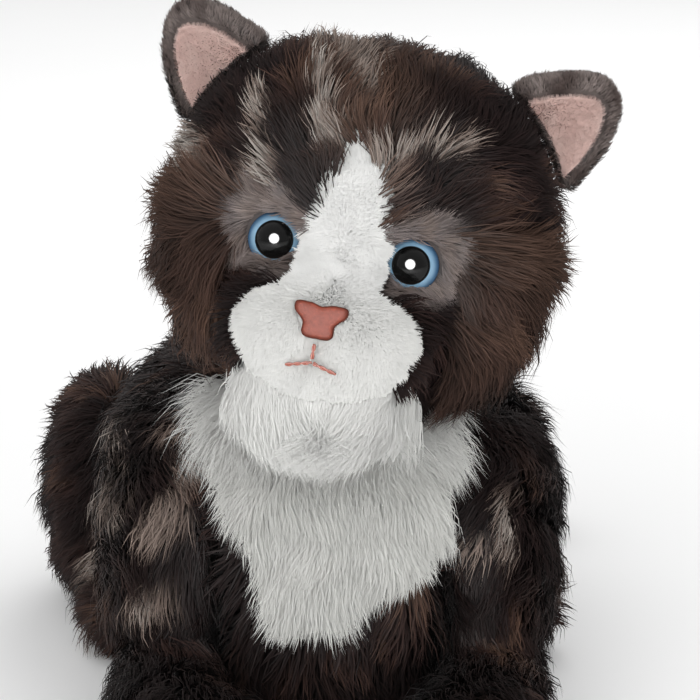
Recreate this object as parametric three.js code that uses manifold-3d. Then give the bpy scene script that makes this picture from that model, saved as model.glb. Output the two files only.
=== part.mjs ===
// A plush cat lying on its belly with its head up, turned and tipped to one side.
// Millimetres, +Z up. The cat looks along -Y and its own left side is +X.
// Every fur cover is a soft shell as thick as its pile, with its stuffing inside it.

import * as THREE from "three";
import { mergeVertices } from "three/addons/utils/BufferGeometryUtils.js";
import Module from "manifold-3d";

const wasm = await Module();
wasm.setup();

// Driving dimensions.
const gap = 0.3;
const pile = 8;
const floorZ = 0;
const far = 400;
const looseness = 1.2;
const smallestEdge = 0.04;

const eyeDiameter = 18;
const pupilDiameter = 12.6;
const eyeSpacing = 45;
const eyeHeight = -5;
const stemDiameter = 5;
const washerDiameter = 15;

const headCentre = new THREE.Vector3(10.5, -30, 189);
const headTurn = THREE.MathUtils.degToRad(-6.5);
const headRaise = THREE.MathUtils.degToRad(10.5);
const headTip = THREE.MathUtils.degToRad(9.6);
const headHalf = { x: 69, y: 57, up: 69, down: 62 };
const headRoundness = 2.3;
const muzzle = { y: -50, z: -33, halfX: 33, halfY: 29, halfZ: 24 };
const earTurn = THREE.MathUtils.degToRad(22);
const earSplay = THREE.MathUtils.degToRad(50);
const earCup = 0.012; // curve across the ear, per millimetre
const earRoot = { x: 52, y: 2, z: 42.5 };
const ear = { halfWidth: 20, height: 30, depth: 6, bevel: 1.5 };
const earLining = { halfWidth: 16.5, height: 25.5, depth: 1.6 };
const noseMiddle = { x: -2.2, y: -68.5, z: -25.3 };
const mouth = { x: -1.7, top: -32.6, fork: -38.2, reach: 8 };
const threadRadius = 0.7;
const neck = { x: 4, y: -12, z: 136, lean: THREE.MathUtils.degToRad(14) };

const chestHalfWidth = 37.7;
const shoulder = { y: 0, z: 76, radius: 56, reach: 43 };
const elbowRadius = 25;
const pawRadius = 22;
const hipTurn = THREE.MathUtils.degToRad(13);
const hips = new THREE.Vector3(-15, 135, 0);
const tailRoot = new THREE.Vector3(-50, 215, 34);
const tailRadius = 19;

const looks = {
  darkFur: { color: 0x3a2c29, roughness: 0.95 },
  greyFur: { color: 0x7b716d, roughness: 0.95 },
  whiteFur: { color: 0xebecea, roughness: 0.9 },
  bellyFur: { color: 0x4a3b36, roughness: 0.95 },
  earVelour: { color: 0xe3b8a8, roughness: 0.9 },
  stuffing: { color: 0xf4f2ec, roughness: 1.0 },
  iris: { color: 0x6fa3cf, roughness: 0.15 },
  pupil: { color: 0x050505, roughness: 0.05 },
  washer: { color: 0xe8e8e4, roughness: 0.5 },
  nose: { color: 0xc4694f, roughness: 0.45 },
  thread: { color: 0xb8604a, roughness: 0.8 },
};

// Joining and cutting.

function toSolid(geometry) {
  const bare = geometry.clone();
  bare.deleteAttribute("normal");
  bare.deleteAttribute("uv");
  const merged = mergeVertices(bare, 1e-4);
  const mesh = new wasm.Mesh({
    numProp: 3,
    vertProperties: new Float32Array(merged.attributes.position.array),
    triVerts: new Uint32Array(merged.index.array),
  });
  return new wasm.Manifold(mesh);
}

function toGeometry(solid) {
  const mesh = solid.getMesh();
  const geometry = new THREE.BufferGeometry();
  geometry.setAttribute("position", new THREE.BufferAttribute(mesh.vertProperties, 3));
  geometry.setIndex(new THREE.BufferAttribute(mesh.triVerts, 1));
  geometry.computeVertexNormals();
  return geometry;
}

// The largest body of a cut piece, without the crumbs that a cut leaves at its edges.
function mainBody(solid) {
  const bodies = solid.simplify(smallestEdge).decompose();
  return bodies.reduce((best, body) => (body.volume() > best.volume() ? body : best));
}

// The block of space between two corners.
function block(low, high) {
  const box = new THREE.BoxGeometry(high[0] - low[0], high[1] - low[1], high[2] - low[2]);
  box.translate((low[0] + high[0]) / 2, (low[1] + high[1]) / 2, (low[2] + high[2]) / 2);
  return box;
}

// A round bar between two points.
function bar(radius, from, to, sides = 18) {
  const length = from.distanceTo(to);
  const rod = new THREE.CylinderGeometry(radius, radius, length, sides);
  const direction = to.clone().sub(from).normalize();
  const turn = new THREE.Quaternion().setFromUnitVectors(new THREE.Vector3(0, 1, 0), direction);
  rod.applyQuaternion(turn);
  const middle = from.clone().add(to).multiplyScalar(0.5);
  rod.translate(middle.x, middle.y, middle.z);
  return rod;
}

// A soft round body along a path. Each station of sizes is [half width, rise, drop].
// inset draws the whole surface inwards, for the inside of a cover or for its stuffing.
function softBody({ path, sizes, around, along, blunt = 0.7, inset = 0 }) {
  const spine = new THREE.CatmullRomCurve3(path.map((p) => new THREE.Vector3(...p)));
  const girth = new THREE.CatmullRomCurve3(sizes.map((s) => new THREE.Vector3(...s)));
  const geometry = new THREE.SphereGeometry(1, around, along);
  const trim = Math.max(0, inset / spine.getLength());
  const position = geometry.attributes.position;
  const up = new THREE.Vector3(0, 0, 1);
  const point = new THREE.Vector3();
  for (let i = 0; i < position.count; i++) {
    point.fromBufferAttribute(position, i);
    const ring = Math.hypot(point.x, point.z);
    const t = trim + (1 - 2 * trim) * (0.5 + 0.5 * point.y);
    const size = girth.getPoint(t);
    const ahead = spine.getTangent(t);
    const across = new THREE.Vector3().crossVectors(ahead, up).normalize();
    const rise = new THREE.Vector3().crossVectors(across, ahead).normalize();
    const fullness = ring > 1e-6 ? Math.pow(ring, blunt - 1) : 0;
    const height = (point.z > 0 ? size.y : size.z) - inset;
    const place = spine.getPoint(t);
    place.addScaledVector(across, point.x * fullness * (size.x - inset));
    place.addScaledVector(rise, point.z * fullness * height);
    position.setXYZ(i, place.x, place.y, place.z);
  }
  return toSolid(geometry);
}

// Keeps what stands on the floor, raised by inset.
function onFloor(solid, inset = 0) {
  return solid.subtract(toSolid(block([-far, -far, -far], [far, far, floorZ + inset])));
}

// Everything above (side 1) or below (side -1) the tilted neck plane, clear of it by clearance.
function neckHalf(side, clearance) {
  const half = side > 0 ? block([-far, -far, clearance], [far, far, far])
    : block([-far, -far, -far], [far, far, -clearance]);
  half.rotateX(neck.lean);
  half.translate(neck.x, neck.y, neck.z);
  return toSolid(half);
}

const group = new THREE.Group();

function addPart(name, solid, look) {
  const material = new THREE.MeshStandardMaterial({ metalness: 0, ...look });
  const mesh = new THREE.Mesh(toGeometry(mainBody(solid)), material);
  mesh.name = name;
  group.add(mesh);
}

// Torso: chest slab between the shoulders, barrel and rump, curving to the cat's right.

function torsoForm(inset) {
  const path = [[0, -74, 86], [0, -17, 84], [-2, 40, 78], [-9, 97, 71], [-22, 155, 64], [-42, 212, 56]];
  const sizes = [[82, 72, 88], [82, 72, 90], [80, 73, 84], [78, 70, 76], [76, 64, 70], [70, 56, 60]];
  const detail = inset > 0 ? { around: 16, along: 11 } : { around: 28, along: 20 };
  let form = softBody({ path, sizes, ...detail, inset });
  for (const side of [-1, 1]) {
    form = form.subtract(shoulderPocket(side, inset));
    form = form.subtract(forelegClearance(side, inset));
  }
  form = form.intersect(neckHalf(-1, gap / 2 + inset));
  form = form.subtract(tailSocket(inset));
  return onFloor(form, inset);
}

// The space in the torso's side that one shoulder turns in.
function shoulderPocket(side, inset) {
  const inner = chestHalfWidth - inset;
  const from = new THREE.Vector3(side * inner, shoulder.y, shoulder.z);
  const to = new THREE.Vector3(side * far, shoulder.y, shoulder.z);
  return toSolid(bar(shoulder.radius + 0.9 + inset, from, to, 36));
}

// The space ahead of and below one shoulder, where the foreleg lies and swings.
function forelegClearance(side, inset) {
  const inner = chestHalfWidth - inset;
  const lowX = Math.min(side * inner, side * far);
  const highX = Math.max(side * inner, side * far);
  const ahead = toSolid(block([lowX, -far, -far], [highX, shoulder.y + inset, far]));
  const below = toSolid(block([lowX, -far, -far], [highX, 27 + inset, shoulder.z]));
  return ahead.add(below);
}

function tailSocket(inset) {
  const ball = new THREE.SphereGeometry(tailRadius + 1.2 + inset, 18, 12);
  ball.rotateX(Math.PI / 2);
  ball.translate(tailRoot.x, tailRoot.y, tailRoot.z);
  return toSolid(ball);
}

// The bib's outline on the chest, seen from the front: wide under the chin, with its tip low down
// and a little to the cat's right, where the forelegs meet.
const bibOutline = [[-44, 145], [44, 145], [44, 92], [33, 73], [8, 62], [-13, 52], [-20, 66], [-27, 84],
  [-35, 100], [-44, 112]];

function bibRegion(margin) {
  return frontPanel(bibOutline, margin, -26);
}

// The flat underside of the belly.
function bellyRegion(margin) {
  return toSolid(block([-far, 34 - margin, -far], [far, 185 + margin, 12 + margin]));
}

function addTorso() {
  const shell = torsoForm(0).subtract(torsoForm(pile));
  const bib = shell.intersect(bibRegion(0));
  const rest = shell.subtract(bibRegion(gap));
  addPart("bib_panel", bib, looks.whiteFur);
  addPart("belly_panel", rest.intersect(bellyRegion(0)), looks.bellyFur);
  addPart("torso_cover", rest.subtract(bellyRegion(gap)), looks.darkFur);
  addPart("torso_stuffing", torsoForm(pile + looseness), looks.stuffing);
}

// Head: built about its own centre, face towards -Y, then turned and tipped into place.

function headRadius(direction, inset) {
  const rise = direction.z > 0 ? headHalf.up : headHalf.down;
  const sum = Math.pow(Math.abs(direction.x) / (headHalf.x - inset), headRoundness)
    + Math.pow(Math.abs(direction.y) / (headHalf.y - inset), headRoundness)
    + Math.pow(Math.abs(direction.z) / (rise - inset), headRoundness);
  const skull = Math.pow(sum, -1 / headRoundness);
  const snout = muzzleRadius(direction, inset);
  const blendPower = 14;
  return Math.pow(Math.pow(skull, blendPower) + Math.pow(snout, blendPower), 1 / blendPower);
}

// How far a ray from the head's centre runs before it leaves the muzzle's ellipsoid.
function muzzleRadius(direction, inset) {
  const scale = new THREE.Vector3(muzzle.halfX - inset, muzzle.halfY - inset, muzzle.halfZ - inset);
  const ray = direction.clone().divide(scale);
  const start = new THREE.Vector3(0, -muzzle.y, -muzzle.z).divide(scale);
  const a = ray.dot(ray);
  const b = 2 * ray.dot(start);
  const c = start.dot(start) - 1;
  const root = b * b - 4 * a * c;
  return root > 0 ? Math.max(1, (-b + Math.sqrt(root)) / (2 * a)) : 1;
}

function headForm(inset) {
  const detail = inset > 0 ? [18, 13] : [34, 24];
  const geometry = new THREE.SphereGeometry(1, ...detail);
  geometry.rotateX(Math.PI / 2);
  const position = geometry.attributes.position;
  const direction = new THREE.Vector3();
  for (let i = 0; i < position.count; i++) {
    direction.fromBufferAttribute(position, i).normalize();
    direction.multiplyScalar(headRadius(direction.clone(), inset));
    position.setXYZ(i, direction.x, direction.y, direction.z);
  }
  return toSolid(geometry);
}

const headPlace = new THREE.Matrix4()
  .makeTranslation(headCentre.x, headCentre.y, headCentre.z)
  .multiply(new THREE.Matrix4().makeRotationZ(headTurn))
  .multiply(new THREE.Matrix4().makeRotationY(headTip))
  .multiply(new THREE.Matrix4().makeRotationX(-headRaise));

function addHeadPart(name, solid, look, cutByNeck = false) {
  const geometry = toGeometry(solid);
  geometry.applyMatrix4(headPlace);
  let placed = toSolid(geometry);
  if (cutByNeck) {
    placed = placed.intersect(neckHalf(1, cutByNeck));
  }
  addPart(name, placed, look);
}

// A panel's outline as seen from the front, run back as far as backY and grown by a margin.
function frontPanel(outline, margin, backY) {
  const middle = outline.reduce((sum, p) => sum.add(new THREE.Vector2(...p)), new THREE.Vector2());
  middle.divideScalar(outline.length);
  const grown = outline.map((p) => {
    const point = new THREE.Vector2(...p);
    const away = point.clone().sub(middle).normalize().multiplyScalar(margin * 1.3);
    return point.add(away);
  });
  const shape = new THREE.Shape();
  shape.moveTo(grown[0].x, grown[0].y);
  for (const corner of grown.slice(1)) {
    shape.lineTo(corner.x, corner.y);
  }
  const geometry = new THREE.ExtrudeGeometry(shape, { depth: 200, bevelEnabled: false });
  geometry.rotateX(Math.PI / 2);
  geometry.translate(0, backY + margin, 0);
  return toSolid(geometry);
}

function ellipseOutline(x, z, halfX, halfZ, corners = 14) {
  const curve = new THREE.EllipseCurve(x, z, halfX, halfZ);
  return curve.getPoints(corners).slice(0, corners).map((p) => [p.x, p.y]);
}

const blazeOutline = [[-15, -20], [15, -20], [15, 4], [11, 20], [4, 34], [0, 38], [-4, 34], [-11, 20], [-15, 4]];
const muzzleOutline = ellipseOutline(0, -32, 32, 19);
const chinOutline = ellipseOutline(0, -57, 34, 20);

function eyePatchOutline(side) {
  return ellipseOutline(side * 31, -1, 18, 17);
}

function cheekOutline(side) {
  const inner = side * 42;
  const outer = side * 90;
  const corners = [[inner, -80], [outer, -80], [outer, 12], [inner, 12]];
  return side > 0 ? corners : corners.reverse();
}

// The space that one eye takes up: its seat in the fur, its stem and its washer.
function eyeSpace(side) {
  const x = side * eyeSpacing / 2;
  const at = (y) => new THREE.Vector3(x, y, eyeHeight);
  const seat = toSolid(bar(eyeDiameter / 2 + gap, at(-90), at(-51 + gap)));
  const stemHole = toSolid(bar(stemDiameter / 2 + gap, at(-60), at(-38 + gap)));
  const washerSpace = toSolid(bar(washerDiameter / 2 + gap, at(-47.5 - gap), at(-45 + gap)));
  return seat.add(stemHole).add(washerSpace);
}

function addEye(side, sideName) {
  const place = (profile) => {
    const lathe = new THREE.LatheGeometry(profile.map((p) => new THREE.Vector2(...p)), 16);
    lathe.translate(side * eyeSpacing / 2, 0, eyeHeight);
    return toSolid(lathe);
  };
  const rim = eyeDiameter / 2;
  const hole = pupilDiameter / 2 + gap;
  const stem = stemDiameter / 2;
  const iris = place([[0, -53], [hole, -53], [hole, -57.4], [8, -56.2], [rim, -54], [rim, -51],
    [stem, -51], [stem, -38], [0, -38]]);
  const dome = [];
  const domeSteps = 4;
  for (let i = 0; i <= domeSteps; i++) {
    const angle = (Math.PI / 2) * (i / domeSteps);
    dome.push([(pupilDiameter / 2) * Math.sin(angle), -57 - 3 * Math.cos(angle)]);
  }
  const pupil = place([...dome, [pupilDiameter / 2, -53 - gap], [0, -53 - gap]]);
  const washer = place([[stem + gap, -47.5], [washerDiameter / 2, -47.5], [washerDiameter / 2, -46],
    [stem + 2, -45], [stem + gap, -45], [stem + gap, -47.5]]);
  addHeadPart(`eye_${sideName}_iris`, iris, looks.iris);
  addHeadPart(`eye_${sideName}_pupil`, pupil, looks.pupil);
  addHeadPart(`eye_${sideName}_washer`, washer, looks.washer);
}

// Outline of an ear lying flat: root on Z = 0, tip up.
function earShape(halfWidth, height) {
  const shape = new THREE.Shape();
  shape.moveTo(-halfWidth, -10);
  shape.lineTo(halfWidth, -10);
  shape.quadraticCurveTo(halfWidth * 0.95, height * 0.55, halfWidth * 0.22, height * 0.95);
  shape.quadraticCurveTo(0, height * 1.04, -halfWidth * 0.22, height * 0.95);
  shape.quadraticCurveTo(-halfWidth * 0.95, height * 0.55, -halfWidth, -10);
  return shape;
}

// Cups a flat ear forwards, turns its opening outwards and stands it on the head.
function standEar(geometry, side) {
  const position = geometry.attributes.position;
  for (let i = 0; i < position.count; i++) {
    const x = position.getX(i);
    position.setY(i, position.getY(i) - earCup * x * x);
  }
  geometry.rotateZ(side * earTurn);
  geometry.rotateY(side * earSplay);
  geometry.translate(side * earRoot.x, earRoot.y, earRoot.z);
  return toSolid(geometry);
}

function addEar(side, sideName, head) {
  const outer = new THREE.ExtrudeGeometry(earShape(ear.halfWidth, ear.height), { depth: ear.depth, steps: 1,
    curveSegments: 5, bevelEnabled: true, bevelThickness: ear.bevel, bevelSize: ear.bevel, bevelSegments: 1 });
  outer.rotateX(Math.PI / 2);
  outer.translate(0, ear.depth, 0);
  const lining = new THREE.ExtrudeGeometry(earShape(earLining.halfWidth, earLining.height),
    { depth: earLining.depth, steps: 1, curveSegments: 5, bevelEnabled: false });
  lining.rotateX(Math.PI / 2);
  lining.translate(0, -ear.bevel - 3 * gap, 0);
  const outerSolid = standEar(subdivided(outer), side);
  const liningSolid = standEar(subdivided(lining), side);
  const clearOfLining = outerSolid.subtract(liningSolid);
  addHeadPart(`ear_${sideName}_outer`, clearOfLining.subtract(head), looks.greyFur);
  addHeadPart(`ear_${sideName}_lining`, liningSolid.subtract(head), looks.earVelour);
}

// Splits each triangle's long edges, so that a flat piece can be cupped.
function subdivided(geometry) {
  const solid = toSolid(geometry).refineToLength(11);
  return toGeometry(solid);
}

function addNose(head) {
  const shape = new THREE.Shape();
  shape.moveTo(-7, 3.4);
  shape.quadraticCurveTo(-4, 5.6, 0, 4.4);
  shape.quadraticCurveTo(4, 5.6, 7, 3.4);
  shape.quadraticCurveTo(6.6, -0.6, 3.4, -2.6);
  shape.quadraticCurveTo(3, -5.4, 0, -5.6);
  shape.quadraticCurveTo(-3, -5.4, -3.4, -2.6);
  shape.quadraticCurveTo(-6.6, -0.6, -7, 3.4);
  const nose = new THREE.ExtrudeGeometry(shape, { depth: 12, curveSegments: 4,
    bevelEnabled: true, bevelThickness: 1.5, bevelSize: 1.2, bevelSegments: 2 });
  nose.rotateX(Math.PI / 2);
  nose.translate(noseMiddle.x, noseMiddle.y, noseMiddle.z);
  addHeadPart("nose", toSolid(nose).subtract(head), looks.nose);
}

// One run of thread laid on the muzzle between points given as [x, z] on the face.
function stitch(points) {
  const lift = threadRadius + 2 * gap;
  const path = points.map(([x, z]) => {
    const direction = faceDirection(x, z);
    return direction.multiplyScalar(headRadius(direction.clone(), 0) + lift).toArray();
  });
  const curve = new THREE.CatmullRomCurve3(path.map((p) => new THREE.Vector3(...p)));
  const section = new THREE.Shape();
  section.absarc(0, 0, threadRadius, 0, 2 * Math.PI);
  const geometry = new THREE.ExtrudeGeometry(section, { steps: 4, curveSegments: 3, bevelEnabled: false,
    extrudePath: curve });
  return toSolid(geometry);
}

// The direction from the head's centre to the face point seen at (x, z) from the front.
function faceDirection(x, z) {
  let y = -60;
  for (let turn = 0; turn < 30; turn++) {
    const direction = new THREE.Vector3(x, y, z).normalize();
    y = direction.y * headRadius(direction.clone(), 0);
  }
  return new THREE.Vector3(x, y, z).normalize();
}

function addMouth() {
  const middle = (mouth.top + mouth.fork) / 2;
  const run = [[mouth.x, mouth.top], [mouth.x, middle], [mouth.x, mouth.fork + 4 * gap]];
  addHeadPart("mouth_middle_stitch", stitch(run), looks.thread);
  for (const [side, sideName] of [[1, "left"], [-1, "right"]]) {
    const start = [mouth.x + side * 3 * gap, mouth.fork - gap];
    const bend = [mouth.x + side * mouth.reach / 2, mouth.fork - 5 * gap];
    const end = [mouth.x + side * mouth.reach, mouth.fork - 8 * gap];
    addHeadPart(`mouth_${sideName}_stitch`, stitch([start, bend, end]), looks.thread);
  }
}

function addHead() {
  const whole = headForm(0);
  const eyes = eyeSpace(-1).add(eyeSpace(1));
  let shell = whole.subtract(headForm(pile)).subtract(eyes);
  const panels = [
    ["muzzle_panel", muzzleOutline, looks.whiteFur, -20],
    ["blaze_panel", blazeOutline, looks.whiteFur, -20],
    ["chin_panel", chinOutline, looks.whiteFur, -25],
    ["eye_patch_left", eyePatchOutline(1), looks.greyFur, -20],
    ["eye_patch_right", eyePatchOutline(-1), looks.greyFur, -20],
    ["cheek_left", cheekOutline(1), looks.darkFur, 8],
    ["cheek_right", cheekOutline(-1), looks.darkFur, 8],
  ];
  for (const [name, outline, look, backY] of panels) {
    addHeadPart(name, shell.intersect(frontPanel(outline, 0, backY)), look, gap / 2);
    shell = shell.subtract(frontPanel(outline, gap, backY));
  }
  addHeadPart("head_cover", shell, looks.darkFur, gap / 2);
  const stuffing = headForm(pile + looseness).subtract(eyes);
  addHeadPart("head_stuffing", stuffing, looks.stuffing, gap / 2);
  for (const [side, sideName] of [[1, "left"], [-1, "right"]]) {
    addEye(side, sideName);
    addEar(side, sideName, headForm(-gap));
  }
  addNose(headForm(-gap));
  addMouth();
}

// Forelegs: a round shoulder that turns in the torso's side, and a forearm lying on the floor.

function forelegForm(side, inset) {
  const detail = inset > 0 ? [14, 7] : [22, 12];
  const disc = new THREE.SphereGeometry(1, ...detail);
  const position = disc.attributes.position;
  const squareness = 3;
  for (let i = 0; i < position.count; i++) {
    const height = Math.abs(position.getY(i));
    const ring = Math.hypot(position.getX(i), position.getZ(i));
    const size = Math.pow(Math.pow(height, squareness) + Math.pow(ring, squareness), -1 / squareness);
    position.setXYZ(i, position.getX(i) * size, position.getY(i) * size, position.getZ(i) * size);
  }
  disc.scale(shoulder.radius - inset, shoulder.reach - inset, shoulder.radius - inset);
  disc.rotateZ(Math.PI / 2);
  disc.translate(side * (chestHalfWidth + gap), shoulder.y, shoulder.z);
  const path = [[54, 14, 26], [54, -22, 27], [49, -60, 27], [38, -98, 26], [25, -134, 24]];
  const sizes = [[elbowRadius, 28, 32], [elbowRadius, 29, 32], [25, 26, 32], [24, 24, 30], [pawRadius, 23, 28]];
  const forearm = softBody({ path: path.map(([x, y, z]) => [side * x, y, z]), sizes,
    around: inset > 0 ? 10 : 16, along: inset > 0 ? 8 : 12, blunt: 0.6, inset });
  const keepOut = chestHalfWidth + gap;
  const slab = toSolid(block([-keepOut, -76, -far], [keepOut, far, far]));
  return onFloor(toSolid(disc).add(forearm), inset).subtract(slab);
}

function addForeleg(side, sideName) {
  const cover = forelegForm(side, 0).subtract(forelegForm(side, pile));
  const stuffing = forelegForm(side, pile + looseness).subtract(cover);
  addPart(`foreleg_${sideName}_cover`, cover, looks.darkFur);
  addPart(`foreleg_${sideName}_stuffing`, stuffing, looks.stuffing);
}

// Hind legs: a haunch against the side of the rump and a foot along the floor.

function hindLegForm(side, inset) {
  const back = side > 0 ? 0 : 28;
  const haunch = softBody({ path: [[62, -52, 42], [68, -20, 47], [69, 14, 50], [60, 60, 42]],
    sizes: [[26, 44, 50], [27, 50, 55], [27, 50, 58], [24, 42, 50]],
    around: inset > 0 ? 10 : 18, along: inset > 0 ? 7 : 11, blunt: 0.85, inset });
  const foot = softBody({ path: [[68, -6, 20], [72, -36, 20], [74, -62, 19], [74, -88, 18]],
    sizes: [[19, 20, 24], [19, 20, 24], [18, 19, 22], [19, 19, 22]],
    around: inset > 0 ? 8 : 14, along: inset > 0 ? 6 : 9, blunt: 0.75, inset });
  const leg = toGeometry(haunch.add(foot));
  if (side < 0) {
    leg.applyMatrix4(new THREE.Matrix4().makeScale(-1, 1, 1));
    leg.index.array.reverse();
  }
  leg.translate(0, back, 0);
  leg.rotateZ(hipTurn);
  leg.translate(hips.x, hips.y, hips.z);
  return onFloor(toSolid(leg), inset).subtract(torsoForm(-0.4 - inset));
}

// The gap in the seam that the leg was filled through, on its side against the torso.
function fillingHole(side) {
  const back = side > 0 ? 0 : 28;
  const from = new THREE.Vector3(side * 74, back, 46);
  const to = new THREE.Vector3(side * 30, back, 46);
  const hole = bar(9, from, to, 12);
  hole.rotateZ(hipTurn);
  hole.translate(hips.x, hips.y, hips.z);
  return toSolid(hole);
}

function addHindLeg(side, sideName) {
  const cover = hindLegForm(side, 0).subtract(hindLegForm(side, pile)).subtract(fillingHole(side));
  const stuffing = hindLegForm(side, pile + looseness);
  addPart(`hind_leg_${sideName}_cover`, cover, looks.darkFur);
  addPart(`hind_leg_${sideName}_stuffing`, stuffing, looks.stuffing);
}

// Tail: a ball in the rump's socket, then a thick brush lying on the floor.

function tailForm(inset) {
  const ball = new THREE.SphereGeometry(tailRadius - inset, 14, 9);
  ball.translate(tailRoot.x, tailRoot.y, tailRoot.z);
  const path = [[-50, 214, 34], [-43, 243, 25], [-16, 266, 21], [24, 270, 20], [62, 254, 19], [92, 228, 18]];
  const sizes = [[19, 19, 22], [20, 20, 28], [21, 21, 28], [21, 21, 28], [20, 20, 26], [16, 16, 24]];
  const brush = softBody({ path, sizes, around: inset > 0 ? 8 : 14, along: inset > 0 ? 9 : 14,
    blunt: 0.5, inset });
  return onFloor(toSolid(ball).add(brush), inset);
}

function addTail() {
  const mouth = new THREE.Vector3(tailRoot.x, tailRoot.y, tailRoot.z);
  const ahead = new THREE.Vector3(tailRoot.x + 4, tailRoot.y - 40, tailRoot.z + 6);
  const opening = toSolid(bar(7, mouth, ahead, 16));
  const cover = tailForm(0).subtract(tailForm(pile)).subtract(opening);
  addPart("tail_cover", cover, looks.darkFur);
  addPart("tail_stuffing", tailForm(pile + looseness), looks.stuffing);
}

addTorso();
addHead();
for (const [side, sideName] of [[1, "left"], [-1, "right"]]) {
  addForeleg(side, sideName);
}
for (const [side, sideName] of [[1, "left"], [-1, "right"]]) {
  addHindLeg(side, sideName);
}
addTail();

// Stand the whole cat with the middle of its footprint at the origin.
const footprint = new THREE.Box3().setFromObject(group);
const middle = footprint.getCenter(new THREE.Vector3());
for (const mesh of group.children) {
  mesh.geometry.translate(-middle.x, -middle.y, -footprint.min.z);
}

export default group;
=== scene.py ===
"""A lying plush cat with long pile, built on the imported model. Metres, +Z up, and the cat faces -Y."""

import math

import bmesh
import bpy
import numpy as np
from mathutils import Matrix, Vector
from mathutils.bvhtree import BVHTree
from mathutils.kdtree import KDTree


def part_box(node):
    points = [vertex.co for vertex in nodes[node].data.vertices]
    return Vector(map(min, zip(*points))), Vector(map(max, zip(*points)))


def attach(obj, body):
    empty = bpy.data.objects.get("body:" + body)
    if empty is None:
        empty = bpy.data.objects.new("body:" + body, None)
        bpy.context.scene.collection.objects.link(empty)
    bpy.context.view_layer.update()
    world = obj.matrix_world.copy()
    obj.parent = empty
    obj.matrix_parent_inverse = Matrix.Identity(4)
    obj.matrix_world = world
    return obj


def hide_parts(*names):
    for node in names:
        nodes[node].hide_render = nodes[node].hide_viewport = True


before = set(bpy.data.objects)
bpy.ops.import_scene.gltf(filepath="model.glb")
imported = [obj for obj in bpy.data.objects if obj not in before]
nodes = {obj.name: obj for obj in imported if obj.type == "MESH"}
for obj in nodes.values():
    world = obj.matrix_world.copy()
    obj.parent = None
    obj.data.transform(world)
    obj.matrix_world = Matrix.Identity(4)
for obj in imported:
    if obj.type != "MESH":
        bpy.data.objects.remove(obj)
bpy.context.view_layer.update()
mm = 0.001

# ---------------------------------------------------------------- driving dimensions

head_turn = math.radians(-6.5)
head_tip = math.radians(9.6)
head_raise = math.radians(10.5)

eye_radius = 9.0 * mm
pupil_radius = 6.3 * mm
iris_foot, iris_rise = 1.2 * mm, 6.4 * mm  # heights over the eye's seat
pupil_foot, pupil_rise = 4.8 * mm, 8.6 * mm
dome_thickness = 1.2 * mm
eye_seat = Vector((0, -47.4, -5)) * mm  # the middle between the two eyes' seats, in the head's frame
eye_middle = Vector((0, -47.7, -5)) * mm  # the middle between the two irises with their stems
eye_spacing = 45 * mm
nose_tip = np.array((0, -70, -24)) * mm  # in the head's frame
nose_front = -79.7  # millimetres, where the pad's edge lies along the head's y
nose_middle = (-2.2, -25.3)  # millimetres, x and z of the pad's middle in the head's frame

voxel = 2.6 * mm
strand_limit = 38000  # strands in one piece
floor_clearance = 0.4 * mm
collar_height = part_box("bib_panel")[1].z


# ---------------------------------------------------------------- camera


camera_distance = 1.097
camera_elevation = math.radians(14)
camera_lens = 166.4
camera_sensor = 36


def place_camera():
    """Looks down at the face from the front, aimed just above the chin."""
    low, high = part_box("head_cover")
    middle = (low + high) / 2
    aim = Vector((middle.x - 4 * mm, middle.y - 2 * mm, low.z + 23 * mm))
    data = bpy.data.cameras.new("camera")
    data.lens = camera_lens
    data.sensor_width = camera_sensor
    camera = bpy.data.objects.new("camera", data)
    bpy.context.scene.collection.objects.link(camera)
    back = Vector((0, -math.cos(camera_elevation), math.sin(camera_elevation)))
    camera.location = aim + camera_distance * back
    camera.rotation_euler = (aim - camera.location).to_track_quat("-Z", "Y").to_euler()
    bpy.context.scene.camera = camera


place_camera()


# ---------------------------------------------------------------- the head's own frame


def middle_of(node):
    low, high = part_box(node)
    return (low + high) / 2


head_rotation = (
    Matrix.Rotation(head_turn, 3, "Z")
    @ Matrix.Rotation(head_tip, 3, "Y")
    @ Matrix.Rotation(-head_raise, 3, "X")
)
iris_middle = (middle_of("eye_left_iris") + middle_of("eye_right_iris")) / 2
head_centre = iris_middle - head_rotation @ eye_middle
head_axes = np.array(head_rotation)


def to_head(points):
    """Points of the row frame in the head's frame: x to the cat's left, face towards -y, z up."""
    return (points - np.array(head_centre)) @ head_axes


def from_head(vectors):
    """Directions in the head's frame turned into the row frame."""
    return vectors @ head_axes.T


# ---------------------------------------------------------------- small helpers


def unit(vectors):
    return vectors / np.maximum(np.linalg.norm(vectors, axis=-1, keepdims=True), 1e-9)


def waves(points, size, seed, count=9):
    """A smooth random field from about -1 to 1, with features about size across."""
    rng = np.random.default_rng(seed)
    directions = unit(rng.normal(size=(count, 3)))
    lengths = rng.uniform(0.55, 1.5, (count, 1)) * 2 * math.pi / size
    phases = rng.uniform(0, 2 * math.pi, count)
    field = np.sin(points @ (directions * lengths).T + phases)
    return np.clip(field.sum(axis=1) * math.sqrt(2 / count) * 0.7, -1, 1)


def smooth_step(values, start, end):
    t = np.clip((values - start) / (end - start), 0, 1)
    return t * t * (3 - 2 * t)


def bump(distance, size):
    """1 at distance 0, falling away over size."""
    return np.exp(-((distance / size) ** 2))


def mix(a, b, share):
    return a + (b - a) * np.asarray(share)[..., None]


def linear(red, green, blue):
    """A display colour, 0 to 255, as linear light."""
    colour = np.array((red, green, blue)) / 255
    return np.where(colour <= 0.04045, colour / 12.92, ((colour + 0.055) / 1.055) ** 2.4)


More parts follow.
